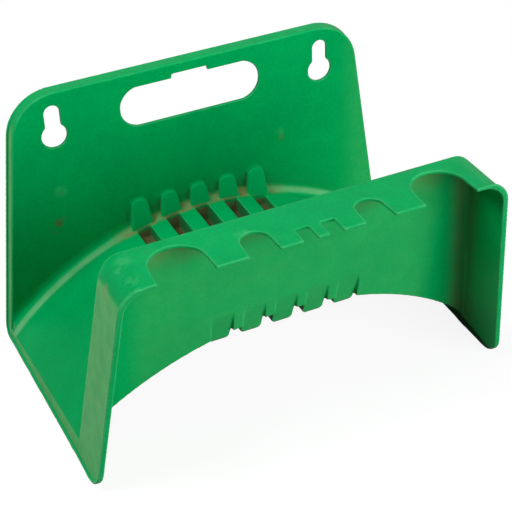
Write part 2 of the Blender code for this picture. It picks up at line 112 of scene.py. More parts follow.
# Saddle
SADDLE_R = 184.3          # top surface
SADDLE_ROOT_R = 7.0       # fillet against the back panel
SADDLE_ROOT_SINK = 0.5    # how far the fillet reaches into the walls that it joins
BAND_BOTTOM = -66.4       # lower edge of the side bands, at the front
BAND_RISE = 3.4           # how much higher it is at the wall
BACK_BOTTOM_HALF = 134.0  # half width at BAND_BOTTOM, against the wall
BAND_SHOULDER_R = 5.0     # side edge of the saddle, rounded down into the band
REAR_FOOT_R = 8.0         # side view: corner of wall and lower edge
FRONT_FOOT_R = 17.0       # side view: corner of lower edge and front edge

# Front pan
RAIL_TOP = 80.3
PLATE_TOP_Y = -151.4      # front face of the front plate at RAIL_TOP
PLATE_LEAN = 0.175        # how far it comes back per millimetre down
FRONT_TOP_HALF = 112.5    # half width at RAIL_TOP
FRONT_BOTTOM_HALF = 131.4  # half width at BAND_BOTTOM
RAIL_DEPTH = 34.9         # front plate to front edge, at RAIL_TOP
RAIL_FRONT_Y = PLATE_TOP_Y - RAIL_DEPTH
EDGE_LEAN = 0.155         # how far the front edge comes back per millimetre down
PAN_CORNER_R = 6.2        # plan view: front plate to end flange, outside
RAIL_EDGE_R = 2.5         # side view: front plate to rail, outside
RAIL_END_R = 17.5         # front view: rail to end flange, outside
END_CLOSING = 2.2         # how fast that radius closes towards the rail's rear edge

# Tool notches in the rail's front edge, each side of the middle
BIG_NOTCH_X = 77.2
BIG_NOTCH_R = 15.6
BIG_MOUTH_HALF = 16.4
ROUND_NOTCH_IN = 12.9     # front edge to the centre of the round notches
ROUND_NOTCH_Y = RAIL_FRONT_Y + ROUND_NOTCH_IN
MID_NOTCH_X = 33.8
MID_NOTCH_R = 8.2
MID_MOUTH_HALF = 9.2
SMALL_NOTCH_X = 7.5
SMALL_NOTCH_HALF = 4.1
SMALL_NOTCH_DEPTH = 12.3

# Corrugation: channels across the saddle, each with a tab behind and a flute in front
CHANNELS = 5
CHANNEL_PITCH = 20.1
CHANNEL_HALF = 7.0        # outside, at the underside
CHANNEL_DRAFT = 0.8       # how much narrower the floor is than the mouth
CHANNEL_FOOT_Z = -13.4    # underside of the channels
CHANNEL_FOOT_R = 2.8
TAB_TOP_Z = 14.8
TAB_FOOT_Z = -8.0         # a tab's outside ends here, within its channel's
TAB_HALF = 5.2            # outside, at the top
TAB_FLARE = 0.11          # how much wider each side gets per millimetre down
TAB_TOP_STEP = 2.6        # how far a tab stands out from the panel at its top
TAB_LEAN = 0.17           # how much further it stands out per millimetre down
TAB_CORNER_R = 4.5
FLUTE_TOP_Z = 10.0
FLUTE_LEAN = 0.37         # how far a flute's face comes back per millimetre down
GUSSET_WALL = 1.5         # side wall of the swelling behind a flute
GUSSET_FOOT_Z = -9.0      # the swelling reaches this low, less what the saddle trims off


def back_half(z):
    """Half width of the back box at height z."""
    slope = (BACK_BOTTOM_HALF - BACK_TOP_HALF) / (BACK_TOP - BAND_BOTTOM)
    return BACK_TOP_HALF + slope * (BACK_TOP - z)


def front_half(z):
    """Half width of the front pan at height z."""
    slope = (FRONT_BOTTOM_HALF - FRONT_TOP_HALF) / (RAIL_TOP - BAND_BOTTOM)
    return FRONT_TOP_HALF + slope * (RAIL_TOP - z)


def plate_y(z):
    """Front face of the front plate at height z."""
    return PLATE_TOP_Y + PLATE_LEAN * (RAIL_TOP - z)


def edge_y(z):
    """Front edge of the rail and end flanges at height z."""
    return RAIL_FRONT_Y + EDGE_LEAN * (RAIL_TOP - z)


def tab_y(z):
    """Front face of the tabs, and rear end of the channels, at height z."""
    return -BACK_DEPTH - TAB_TOP_STEP - TAB_LEAN * (TAB_TOP_Z - z)


def flute_y(z):
    """Front face of the flutes, and outside front end of the channels, at height z."""
    return plate_y(FLUTE_TOP_Z) + FLUTE_LEAN * (FLUTE_TOP_Z - z)


def channel_xs():
    """Centre of each channel across the saddle."""
    middle = (CHANNELS - 1) / 2
    return [CHANNEL_PITCH * (i - middle) for i in range(CHANNELS)]


def rounded(points, facets=0):
    """Outline through (a, b, radius) corners, each corner replaced by its arc."""
    out = []
    count = len(points)
    for i, (a, b, radius) in enumerate(points):
        here = Vector((a, b))
        if radius <= 0:
            out.append(here)
            continue
        before = (Vector(points[i - 1][:2]) - here).normalized()
        after = (Vector(points[(i + 1) % count][:2]) - here).normalized()
        half = before.angle(after) / 2
        centre = here + (before + after).normalized() * (radius / math.sin(half))
        start = here + before * (radius / math.tan(half)) - centre
        sweep = start.angle_signed(here + after * (radius / math.tan(half)) - centre)
        steps = facets or max(2, math.ceil(abs(sweep) / ARC_STEP))
        for k in range(steps + 1):
            out.append(centre + Matrix.Rotation(-sweep * k / steps, 2) @ start)
    return out


def new_object(name, data):
    """Object with this data, in the scene."""
    obj = bpy.data.objects.new(name, data)
    bpy.context.scene.collection.objects.link(obj)
    return obj


def mesh_object(name, verts, faces):
    """Object of a closed mesh given in millimetres, with its faces turned outwards."""
    mesh = bpy.data.meshes.new(name)
    mesh.from_pydata([[c * MM for c in v] for v in verts], [], faces)
    bm = bmesh.new()
    bm.from_mesh(mesh)
    bmesh.ops.remove_doubles(bm, verts=bm.verts, dist=MERGE * MM)
    bmesh.ops.recalc_face_normals(bm, faces=bm.faces)
    bmesh.ops.triangulate(bm, faces=bm.faces, ngon_method="EAR_CLIP")
    bm.to_mesh(mesh)
    bm.free()
    return new_object(name, mesh)


def loft(name, loops):
    """Solid skinned over loops of equal length, with both ends closed."""
    size = len(loops[0])
    verts = [v for loop in loops for v in loop]
    faces = [list(range(size))]
    faces.append(list(range(len(verts) - size, len(verts))))
    for j in range(len(loops) - 1):
        for i in range(size):
            k = (i + 1) % size
            faces.append([j * size + i, j * size + k, (j + 1) * size + k])
            faces.append([j * size + i, (j + 1) * size + k, (j + 1) * size + i])
    return mesh_object(name, verts, faces)


def along_y(outline, y0, y1):
    """Solid from an (x, z) outline, between two depths."""
    return loft("along_y", [[(a, y, b) for a, b in outline] for y in (y0, y1)])


def along_x(outline, x0, x1):
    """Solid from a (y, z) outline, between two places across the width."""
    return loft("along_x", [[(x, a, b) for a, b in outline] for x in (x0, x1)])


def along_z(outline, z0, z1):
    """Solid from an (x, y) outline, between two heights."""
    return loft("along_z", [[(a, b, z) for a, b in outline] for z in (z0, z1)])


def box(x0, x1, y0, y1, z0, z1):
    """Plain box."""
    return along_z([(x0, y0), (x1, y0), (x1, y1), (x0, y1)], z0, z1)


def apply_modifiers(obj):
    """Put an object's modifiers into its mesh."""
    graph = bpy.context.evaluated_depsgraph_get()
    made = bpy.data.meshes.new_from_object(obj.evaluated_get(graph))
    obj.modifiers.clear()
    old = obj.data
    obj.data = made
    bpy.data.meshes.remove(old)


def combine(target, operation, tool):
    """Apply one boolean to target, and drop the tool."""
    modifier = target.modifiers.new("combine", "BOOLEAN")
    modifier.operation = operation
    modifier.solver = "MANIFOLD"
    modifier.object = tool
    bpy.context.view_layer.update()
    apply_modifiers(target)
    discard(tool)


def join(target, *tools):
    """Add each tool to target."""
    for tool in tools:
        combine(target, "UNION", tool)
    return target


def cut(target, *tools):
    """Take each tool away from target."""
    for tool in tools:
        combine(target, "DIFFERENCE", tool)
    return target


def common(target, *tools):
    """Keep what target shares with each tool."""
    for tool in tools:
        combine(target, "INTERSECT", tool)
    return target


def discard(obj):
    """Remove an object together with its mesh."""
    mesh = obj.data
    bpy.data.objects.remove(obj)
    bpy.data.meshes.remove(mesh)


def back_outline(inset, bottom):
    """Front view of the back box, moved in by inset and cut off level at bottom."""
    top = BACK_TOP + LIP - max(inset, 0)
    corner = max(BACK_CORNER_R - inset, LEAST_R)
    return rounded([
        (-back_half(bottom) + inset, bottom, 0),
        (-back_half(top) + inset, top, corner),
        (back_half(top) - inset, top, corner),
        (back_half(bottom) - inset, bottom, 0),
    ])


def back_form(inset, bottom, front, rear):
    """Back box with its front edges rounded, or the core that hollows it."""
    radius = max(BACK_EDGE_R - inset, LEAST_R)
    steps = 8
    loops = []
    for k in range(steps + 1):
        turn = math.pi / 2 * k / steps
        tuck = radius * (1 - math.sin(turn))
        y = front + radius * (1 - math.cos(turn))
        loops.append([(a, y, b) for a, b in back_outline(inset + tuck, bottom)])
    loops.append([(a, rear, b) for a, b in back_outline(inset, bottom)])
    return loft("back_form", loops)


def arch(radius, floor):
    """(x, z) outline below an arc about the saddle's centre, down to floor."""
    reach = BACK_BOTTOM_HALF + 2 * OVERCUT
    turn = math.asin(reach / SADDLE_R)
    points = []
    for k in range(ARCH_STEPS + 1):
        angle = turn * (2 * k / ARCH_STEPS - 1)
        points.append((radius * math.sin(angle), radius * math.cos(angle) - SADDLE_R))
    return [(-reach, floor)] + points + [(reach, floor)]


def band_half(y, z):
    """Half width over the side bands, from the back box to just inside the pan's sides."""
    near = front_half(z) - STEP_IN
    return back_half(z) + (near - back_half(z)) * y / plate_y(BAND_BOTTOM)


def band_block(inset, bottom, top=2 * OVERCUT):
    """Block with the side bands' tapered faces, moved in by inset."""
    loops = []
    for y in (OVERCUT, PLATE_TOP_Y):
        left = [(-band_half(y, z) + inset, y, z) for z in (bottom, top)]
        loops.append(left + [(-x, y, z) for x, y, z in reversed(left)])
    return loft("band_block", loops)


def saddle_outline(y, inset, bottom):
    """Front view of the saddle at depth y: the arc, rounded down into the side bands."""
    radius = SADDLE_R - inset
    turn = math.asin((band_half(y, BAND_BOTTOM / 2) - inset) / radius)
    for _ in range(SETTLING):
        height = radius * math.cos(turn) - SADDLE_R
        turn = math.asin((band_half(y, height) - inset) / radius)
    points = [(-band_half(y, bottom) + inset, bottom, 0)]
    for k in range(ARCH_STEPS + 1):
        angle = turn * (2 * k / ARCH_STEPS - 1)
        shoulder = max(BAND_SHOULDER_R - inset, LEAST_R) if k in (0, ARCH_STEPS) else 0
        points.append((radius * math.sin(angle), radius * math.cos(angle) - SADDLE_R, shoulder))
    points.append((band_half(y, bottom) - inset, bottom, 0))
    return [(x, y, z) for x, z in rounded(points, SHOULDER_STEPS)]


def saddle_form(inset, bottom, front):
    """Everything below the saddle's surface, moved in by inset, as far as front(z)."""
    body = loft("saddle_form", [saddle_outline(y, inset, bottom) for y in (OVERCUT, PLATE_TOP_Y)])
    return common(body, between(lambda z: OVERCUT / 2, front, -FAR, FAR, 0, FAR))


def pan_outline(depth, inset):
    """Front view of the pan, this far in front of its rear face, as (x, y, z)."""
    side_r = max(PAN_CORNER_R - inset, LEAST_R)
    edge_r = max(RAIL_EDGE_R - inset, LEAST_R)
    side = inset + side_r - math.sqrt(max(side_r ** 2 - max(side_r - depth, 0) ** 2, 0))
    top = RAIL_TOP - inset - edge_r + math.sqrt(max(edge_r ** 2 - max(edge_r - depth, 0) ** 2, 0))
    low = BAND_BOTTOM - FRONT_FOOT_R
    outline = rounded([
        (-front_half(low) + side, low, 0),
        (-front_half(top) + side, top, RAIL_END_R - inset - END_CLOSING * (side - inset)),
        (front_half(top) - side, top, RAIL_END_R - inset - END_CLOSING * (side - inset)),
        (front_half(low) - side, low, 0),
    ], BEND_STEPS)
    return [(x, plate_y(z) + WALL - inset - depth, z) for x, z in outline]


def pan_form(inset):
    """Front pan as a solid with its rear edges rounded, or the core that hollows it."""
    steps = 16
    depths = [PAN_CORNER_R * (1 - math.cos(math.pi / 2 * k / steps)) for k in range(steps + 1)]
    depths.append(PLATE_TOP_Y - RAIL_FRONT_Y + 6 * OVERCUT)
    return loft("pan_form", [pan_outline(depth, inset) for depth in depths])


def side_view(inset=0.0):
    """(y, z) outline that trims the whole moulding, with its rounded feet."""
    high = BACK_TOP + 2 * OVERCUT
    return rounded([
        (-inset, high, 0),
        (-inset, BAND_BOTTOM + BAND_RISE + inset, REAR_FOOT_R - inset),
        (edge_y(BAND_BOTTOM) + inset, BAND_BOTTOM + inset, FRONT_FOOT_R - inset),
        (edge_y(high) + inset, high, 0),
    ])


def lip():
    """Lip all round the moulding's open edge, except along the top of the rail."""
    low = BAND_BOTTOM - OVERCUT
    rim = back_form(-LIP, low, -LIP_DEPTH - OVERCUT, OVERCUT)
    join(rim, band_block(-LIP, low), pan_form(-LIP))
    cut(rim, along_x(side_view(LIP_DEPTH), -FAR, FAR))
    cut(rim, back_form(WALL / 2, low - OVERCUT, -BACK_DEPTH, 2 * OVERCUT))
    cut(rim, band_block(WALL / 2, low - OVERCUT, 3 * OVERCUT), pan_form(WALL / 2))
    return cut(rim, box(-FAR, FAR, -FAR, PLATE_TOP_Y, RAIL_TOP - LIP_DROP, FAR))


def keyhole(x):
    """Cutter for one keyhole: the screw head enters the round, its neck the slot."""
    top = KEYHOLE_Z + KEYSLOT_RISE + KEYSLOT_HALF
    slot = rounded([
        (x - KEYSLOT_HALF, KEYHOLE_Z, 0),
        (x - KEYSLOT_HALF, top, KEYSLOT_HALF * ROUND_END),
        (x + KEYSLOT_HALF, top, KEYSLOT_HALF * ROUND_END),
        (x + KEYSLOT_HALF, KEYHOLE_Z, 0),
    ])
    steps = 72
    circle = []
    for k in range(steps):
        turn = 2 * math.pi * k / steps
        circle.append((x + KEYHOLE_R * math.cos(turn), KEYHOLE_Z + KEYHOLE_R * math.sin(turn)))
    near = -BACK_DEPTH - OVERCUT
    return join(along_y(circle, near, 0), along_y(slot, near, 0))


def hand_slot():
    """Cutter for the hand slot, with the shallow notch in its top edge."""
    radius = HANDSLOT_R * ROUND_END
    low = HANDSLOT_Z - HANDSLOT_R
    high = HANDSLOT_Z + HANDSLOT_R
    step = high + SLOT_STEP_RISE
    outline = rounded([
        (-HANDSLOT_HALF, low, radius),
        (-HANDSLOT_HALF, high, radius),
        (-SLOT_STEP_HALF, high, 0),
        (-SLOT_STEP_HALF, step, SLOT_STEP_R),
        (SLOT_STEP_HALF, step, SLOT_STEP_R),
        (SLOT_STEP_HALF, high, 0),
        (HANDSLOT_HALF, high, radius),
        (HANDSLOT_HALF, low, radius),
    ])
    return along_y(outline, -BACK_DEPTH - OVERCUT, 0)


def round_notch(x, radius, mouth_half):
    """Cutter for a round-ended notch in the rail."""
    points = [(x - mouth_half, RAIL_FRONT_Y - OVERCUT)]
    steps = 48
    for k in range(steps + 1):
        turn = math.pi * (1 - k / steps)
        points.append((x + radius * math.cos(turn), ROUND_NOTCH_Y + radius * math.sin(turn)))
    points.append((x + mouth_half, RAIL_FRONT_Y - OVERCUT))
    return along_z(points, RAIL_TOP - WALL - OVERCUT, RAIL_TOP + OVERCUT)


def square_notch(x):
    """Cutter for a small square notch in the rail."""
    front = RAIL_FRONT_Y - OVERCUT
    rear = RAIL_FRONT_Y + SMALL_NOTCH_DEPTH
    low = RAIL_TOP - WALL - OVERCUT
    return box(x - SMALL_NOTCH_HALF, x + SMALL_NOTCH_HALF, front, rear, low, RAIL_TOP + OVERCUT)


def rib_section(x, half, foot, top, foot_r, top_r):
    """(x, z) section of a channel or flute about x."""
    return rounded([
        (x - half + CHANNEL_DRAFT / 2, foot, foot_r),
        (x - half, top, top_r),
        (x + half, top, top_r),
        (x + half - CHANNEL_DRAFT / 2, foot, foot_r),
    ])


def between(rear, front, foot, top, x, half):
    """Solid across x, whose rear and front ends follow two functions of height."""
    outline = [(rear(foot), foot), (rear(top), top), (front(top), top), (front(foot), foot)]
    return along_x(outline, x - half - OVERCUT, x + half + OVERCUT)


def channel_skin(x):
    """Outside of one channel, below the saddle."""
    high = 2 * OVERCUT
    body = along_y(rib_section(x, CHANNEL_HALF, CHANNEL_FOOT_Z, high, CHANNEL_FOOT_R, 0), 0, -FAR)
    low = CHANNEL_FOOT_Z - TRIM
    ends = between(lambda z: tab_y(z) + WALL, flute_y, low, high + TRIM, x, CHANNEL_HALF)
    under_saddle = along_y(arch(SADDLE_R - WALL / 2, -FAR), OVERCUT, -FAR)
    return common(body, ends, under_saddle)


def channel_core(x):
    """Inside of one channel, open to the hose."""
    half = CHANNEL_HALF - WALL
    floor = CHANNEL_FOOT_Z + WALL
    floor_r = max(CHANNEL_FOOT_R - WALL, LEAST_R)
    body = along_y(rib_section(x, half, floor, TAB_TOP_Z, floor_r, 0), 0, -FAR)
    front = lambda z: flute_y(z) + WALL
    return common(body, between(tab_y, front, floor - TRIM, TAB_TOP_Z + TRIM, x, half))


def tab_section(x, inset, foot):
    """(x, z) section of a tab about x, moved in by inset, wider towards its foot."""
    half = TAB_HALF - inset
    top = TAB_TOP_Z - inset
    low_half = half + TAB_FLARE * (top - foot)
    corner = TAB_CORNER_R - inset
    return rounded([
        (x - low_half, foot, 0),
        (x - half, top, corner),
        (x + half, top, corner),
        (x + low_half, foot, 0),
    ])


def tab_skin(x):
    """Outside of the tab that closes a channel's rear end."""
    body = along_y(tab_section(x, 0, CHANNEL_FOOT_Z), 0, -FAR)
    rear = -BACK_DEPTH + WALL / 2
    reach = 2 * CHANNEL_HALF
    return common(body, between(lambda z: rear, tab_y, TAB_FOOT_Z, TAB_TOP_Z + TRIM, x, reach))


def tab_core(x):
    """Hollow behind a tab, open to the wall."""
    low = CHANNEL_FOOT_Z - TRIM
    body = along_y(tab_section(x, WALL, low), 0, -FAR)
    rear = -BACK_DEPTH + WALL
    front = lambda z: tab_y(z) + WALL
    reach = 2 * CHANNEL_HALF
    return common(body, between(lambda z: rear, front, low - TRIM, TAB_TOP_Z, x, reach))


def gusset_skin(x):
    """Swelling on the rear of the front plate that keeps the wall behind a flute."""
    half = CHANNEL_HALF + GUSSET_WALL
    top = FLUTE_TOP_Z + 2 * WALL
    body = along_y(rib_section(x, half, GUSSET_FOOT_Z, top, 0, TAB_CORNER_R), 0, -FAR)
    rear = lambda z: flute_y(z) + WALL
    front = lambda z: plate_y(z) + WALL / 2
    common(body, between(rear, front, GUSSET_FOOT_Z - TRIM, top + TRIM, x, half))
    return cut(body, along_y(arch(SADDLE_R - WALL, -FAR), OVERCUT, -FAR))


def flute_core(x):
    """Recess in the front face of the front plate, deeper towards its foot."""
    low = CHANNEL_FOOT_Z - OVERCUT
    high = FLUTE_TOP_Z + OVERCUT
    body = along_y(rib_section(x, CHANNEL_HALF, low, high, 0, 0), 0, -FAR)
    front = lambda z: plate_y(z) - OVERCUT
    return common(body, between(flute_y, front, low - OVERCUT, high + OVERCUT, x, CHANNEL_HALF))


def root_fillet(radius):
    """Fillet between the saddle and the back panel, swept round the saddle's arc."""
    face = -BACK_DEPTH
    low = SADDLE_R - SADDLE_ROOT_SINK
    deep = face + SADDLE_ROOT_SINK
    section = [(low, deep), (SADDLE_R + radius, deep)]
    steps = 12
    for k in range(steps + 1):
        turn = math.pi / 2 * k / steps
        section.append((
            SADDLE_R + radius * (1 - math.sin(turn)),
            face - radius * (1 - math.cos(turn)),
        ))
    section.append((low, face - radius))
    reach = math.asin((BACK_BOTTOM_HALF + OVERCUT) / SADDLE_R)
    loops = []
    for k in range(ARCH_STEPS + 1):
        angle = reach * (2 * k / ARCH_STEPS - 1)
        loops.append([
            (r * math.sin(angle), y, r * math.cos(angle) - SADDLE_R) for r, y in section
        ])
    fillet = loft("root_fillet", loops)
    return common(fillet, band_block(WALL / 2, -FAR))


def back_core():
    """Hollow of the back box, open to the wall and bounded below by the saddle."""
    core = back_form(WALL, BAND_BOTTOM, -BACK_DEPTH + WALL, OVERCUT)
    return cut(core, along_y(arch(SADDLE_R, -FAR), 2 * OVERCUT, -FAR))


def saddle_core():
    """Hollow under the saddle: open below, to the wall and through the front plate."""
    return saddle_form(WALL, BAND_BOTTOM - 2 * OVERCUT, lambda z: plate_y(z) - OVERCUT)


def moulding():
    """The whole hanger, as it comes out of its tool."""
    low = BAND_BOTTOM - OVERCUT
    body = back_form(0, low, -BACK_DEPTH, OVERCUT)
    join(body, saddle_form(0, low, lambda z: plate_y(z) - PAN_CORNER_R))
    join(body, pan_form(0), lip())
    cut(body, back_core(), saddle_core(), pan_form(WALL))
    common(body, along_x(side_view(), -FAR, FAR))
    join(body, root_fillet(SADDLE_ROOT_R))
    for x in channel_xs():
        join(body, channel_skin(x), tab_skin(x), gusset_skin(x))
    for x in channel_xs():
        cut(body, channel_core(x), tab_core(x), flute_core(x))
    cut(body, keyhole(-KEYHOLE_X), keyhole(KEYHOLE_X), hand_slot())
    for side in (-1, 1):
        cut(body, round_notch(side * BIG_NOTCH_X, BIG_NOTCH_R, BIG_MOUTH_HALF))
        cut(body, round_notch(side * MID_NOTCH_X, MID_NOTCH_R, MID_MOUTH_HALF))
        cut(body, square_notch(side * SMALL_NOTCH_X))
    return body


# The fine surface, whose smoothing rounds the moulding's edges
VOXEL = 0.5               # its grid
SMOOTH_SHARE = 0.5        # how far one pass moves a point to the middle of its neighbours
SMOOTHING = 8             # passes
KEEP_SHARE = 0.3          # share of the faces that is kept, most where it bends


def round_edges(obj):
    """Even surface of small faces over the moulding, whose edges its smoothing rounds."""
    remesh = obj.modifiers.new("surface", "REMESH")
    remesh.mode = "VOXEL"
    remesh.voxel_size = VOXEL * MM
    smooth = obj.modifiers.new("edges", "SMOOTH")
    smooth.factor = SMOOTH_SHARE
    smooth.iterations = SMOOTHING
    apply_modifiers(obj)
    fewer = obj.modifiers.new("fewer", "DECIMATE")
    fewer.ratio = KEEP_SHARE
    apply_modifiers(obj)
    obj.data.shade_smooth()


# Colours of the plastic, of what lies on it, and of painted light and shade
GREEN = (0.0, 0.448, 0.116, 1.0)
PALE_GREEN = (0.085, 0.57, 0.215, 1.0)    # painted highlights on the edges and front lips, and pale scuffs and smears
PAINTED_SHEEN = (0.36, 0.92, 0.27, 1.0)           # painted sheen, a pale warm reflection on the sides and the front plate
OLIVE = (0.14, 0.30, 0.085, 1.0)          # olive tone at the top of the front plate, under the rail
GRIME = (0.100, 0.048, 0.018, 1.0)        # brown: dirt with painted shade in the recesses, and painted shade under the front plate
TAB_GREEN = (0.0, 0.64, 0.19, 1.0)        # painted light: tabs and crown of the saddle painted a lighter green
INNER_GREEN = (0.07, 0.82, 0.27, 1.0)     # painted light, low on the inner sides of the front pan
BROWN = (0.19, 0.250, 0.095, 1.0)         # painted brown shade in the pan's inside corners
ROOT_HIGHLIGHT = (0.19, 0.66, 0.285, 1.0)         # painted highlight, a pale strip along the saddle's root fillet
DUST = (0.31, 0.36, 0.12, 1.0)            # pale dust between the tabs
SILT = (0.19, 0.135, 0.058, 1.0)          # brown dust on the channels' floors
PAINTED_SHADOW = (0.022, 0.018, 0.008, 1.0)         # painted shadow, near black, inside the saddle's open ends and along the end flanges' lower edges
SHADE = (0.038, 0.085, 0.056, 1.0)        # painted shade, dull and dark, in the wide corners
BROWN_SCUFF = (0.15, 0.15, 0.06, 1.0)
SANDY_SCUFF = (0.42, 0.36, 0.20, 1.0)

# Sheen
GLOSS = 0.12
GLOSS_TINT = (0.0, 1.0, 0.4, 1.0)
ROUGHNESS = 0.42
DIRT_SHADE_ROUGHER = 0.3                        # what full dirt with painted shade, or dust, adds to it

# Bumps, coarse under fine: cells per metre, detail, height in millimetres, strength
BUMPS = [(45, 2, 0.25, 0.35), (1500, 1, 0.03, 0.5)]

# Noises: cells per metre, detail, from and to which value of the noise a mask runs, and
# the mask at both
CLOUD = (22, 3, 0.30, 0.70, 0.955, 1.045)  # uneven pigment, coarse to fine
PATCH = (110, 3, 0.30, 0.70, 0.97, 1.03)
GRAIN = (620, 2, 0.25, 0.75, 0.94, 1.06)
MOTTLE = (95, 4, 0.30, 0.70, 0.78, 1.22)  # of the painted sheen, the olive tone and the painted corner shade
SMEARS = (60, 4, 0.52, 0.70, 0.0, 1.0)
DIRT_SHADE_GRAIN = (160, 3, 0.20, 0.60, 0.70, 1.0)
SILT_GRAIN = (210, 3, 0.25, 0.60, 0.35, 0.90)
STRIP_GRAIN = (70, 3, 0.30, 0.60, 0.75, 1.0)
DUST_GRAIN = (130, 3, 0.35, 0.60, 0.30, 0.95)
HIGHLIGHT_GRAIN = (90, 2, 0.35, 0.60, 0.30, 0.80)
SCUFF_GRAIN = (190, 3, 0.38, 0.60, 0.0, 1.0)
SHEEN_GRAIN = (60, 3, 0.30, 0.70, ROUGHNESS - 0.04, ROUGHNESS + 0.05)

# Pairs, here and before the functions below, are where a mask is 0 and where it is 1.
# Places are in millimetres, and heights count from the top of the back box, as in the
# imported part.  How far a face is turned some way, or open, has no unit.
FRONT_Y = (-118, -126)            # front pan
RAIL_Z = (-27, -24)               # rail on top of it
TAB_AHEAD = (1, 2)                # tabs: ahead of the back panel,
TAB_REACH = (30, 25)              # but no further than this,
TAB_ABOVE = (-0.5, 1.5)           # and above the saddle's surface
CHANNEL_AHEAD = (0.5, 2)
CHANNEL_ABOVE = (0.4, -0.8)       # channels: below the saddle's surface
WIDE_REACH = 40                   # how far around a point a wide corner is felt
OPEN_SAMPLES = 8                  # rays that feel for it

# Colour sockets of the Mix node
MIX_SHARE, MIX_UNDER, MIX_OVER, MIX_RESULT = 0, 6, 7, 2


def node(tree, kind, inputs=(), **settings):
    """Add a node: inputs are (socket, value or output to link) pairs."""
    made = tree.nodes.new(kind)
    for name, value in settings.items():
        setattr(made, name, value)
    for key, value in inputs:
        socket = made.inputs[key]
        if isinstance(value, bpy.types.NodeSocket):
            tree.links.new(value, socket)
        else:
            socket.default_value = value
    return made


def maths(tree, operation, a, b=0.0, clamp=False):
    """Output of one sum on one or two values."""
    made = node(tree, "ShaderNodeMath", [(0, a), (1, b)], operation=operation, use_clamp=clamp)
    return made.outputs[0]


def length(tree, a, b):
    """Length of a vector of two parts."""
    both = maths(tree, "ADD", maths(tree, "MULTIPLY", a, a), maths(tree, "MULTIPLY", b, b))
    return maths(tree, "SQRT", both)


def line(tree, value, slope, start):
    """Slope times value, from start in millimetres."""
    return maths(tree, "ADD", maths(tree, "MULTIPLY", value, slope), start * MM)


def product(tree, *shares):
    """Shares multiplied together."""
    total = shares[0]
    for share in shares[1:]:
        total = maths(tree, "MULTIPLY", total, share)
    return total


def rest(tree, share, part=1.0):
    """What a share leaves of 1, where the share counts by part."""
    return maths(tree, "SUBTRACT", 1.0, maths(tree, "MULTIPLY", share, part))


def either(tree, first, *others):
    """The largest of some shares."""
    for other in others:
        first = maths(tree, "MAXIMUM", first, other)
    return first


def ramp(tree, value, low, high, start=0.0, end=1.0):
    """Value mapped smoothly from low..high to start..end."""
    made = node(
        tree, "ShaderNodeMapRange",
        [("Value", value), ("From Min", low), ("From Max", high), ("To Min", start), ("To Max", end)],
        interpolation_type="SMOOTHSTEP",
    )
    return made.outputs["Result"]


def fade(tree, place, span, start=0.0, end=1.0):
    """The same for a place or distance, whose span is in millimetres."""
    return ramp(tree, place, span[0] * MM, span[1] * MM, start, end)


def noise(tree, place, cells, detail):
    """Noise from 0 to 1 at a number of cells per metre."""
    made = node(tree, "ShaderNodeTexNoise", [("Vector", place), ("Scale", cells), ("Detail", detail)])
    return made.outputs["Fac"]


def blend(tree, share, under, over, kind="MIX"):
    """Colour over laid on colour under by a share."""
    made = node(
        tree, "ShaderNodeMix", [(MIX_SHARE, share), (MIX_UNDER, under), (MIX_OVER, over)],
        data_type="RGBA", blend_type=kind,
    )
    return made.outputs[MIX_RESULT]


def parts(tree, vector):
    """The three parts of a vector."""
    return node(tree, "ShaderNodeSeparateXYZ", [("Vector", vector)]).outputs


def open_share(tree, reach):
    """Share of the space around a point that is open, as far as reach."""
    made = node(tree, "ShaderNodeAmbientOcclusion", [("Distance", reach * MM)], samples=OPEN_SAMPLES)
    return made.outputs["AO"]


def root_of(tree, x, y, z):
    """Metres above the saddle, ahead of the back panel, off its root fillet and up along it."""
    rise = maths(tree, "ADD", z, (SADDLE_R + BACK_TOP) * MM)
    above = maths(tree, "SUBTRACT", length(tree, x, rise), SADDLE_R * MM)
    ahead = maths(tree, "SUBTRACT", -BACK_DEPTH * MM, y)
    span = SADDLE_ROOT_R * MM
    bent = length(tree, maths(tree, "SUBTRACT", span, above), maths(tree, "SUBTRACT", span, ahead))
    off = maths(tree, "ABSOLUTE", maths(tree, "SUBTRACT", bent, span))
    return above, ahead, off, maths(tree, "SUBTRACT", above, ahead)


class Surface:
    """Sockets that say where a point of the plastic lies and how it is turned."""

    def __init__(self, tree):
        self.tree = tree
        coords = tree.nodes.new("ShaderNodeTexCoord").outputs
        self.place = coords["Object"]
        self.x, self.y, self.z = parts(tree, self.place)
        self.wide_x = maths(tree, "ABSOLUTE", self.x)
        across, back, self.up = parts(tree, coords["Normal"])
        self.outward = maths(tree, "MULTIPLY", across, maths(tree, "SIGN", self.x))
        self.facing = maths(tree, "MULTIPLY", back, -1.0)
        self.above, self.ahead, self.off, self.along = root_of(tree, self.x, self.y, self.z)
        self.drop = maths(tree, "SUBTRACT", (RAIL_TOP - BACK_TOP) * MM, self.z)
        self.plate_y = line(tree, self.drop, PLATE_LEAN, PLATE_TOP_Y)
        self.front = fade(tree, self.y, FRONT_Y)
        self.rail = product(tree, self.front, fade(tree, self.z, RAIL_Z))
        self.tab = product(
            tree, fade(tree, self.ahead, TAB_AHEAD), fade(tree, self.above, TAB_ABOVE),
            fade(tree, self.ahead, TAB_REACH),
        )
        self.channel = product(
            tree, fade(tree, self.above, CHANNEL_ABOVE), fade(tree, self.ahead, CHANNEL_AHEAD),
            rest(tree, self.front),
        )
        self.wide_open = open_share(tree, WIDE_REACH)
        self.mottle = self.grain(MOTTLE)

    def grain(self, kind):
        """Mask of one of the noises."""
        cells, detail, low, high, start, end = kind
        return ramp(self.tree, noise(self.tree, self.place, cells, detail), low, high, start, end)


def pigment(at):
    """Green with uneven pigment, coarse to fine."""
    uneven = product(at.tree, at.grain(CLOUD), at.grain(PATCH), at.grain(GRAIN))
    return blend(at.tree, 1.0, GREEN, uneven, "MULTIPLY")
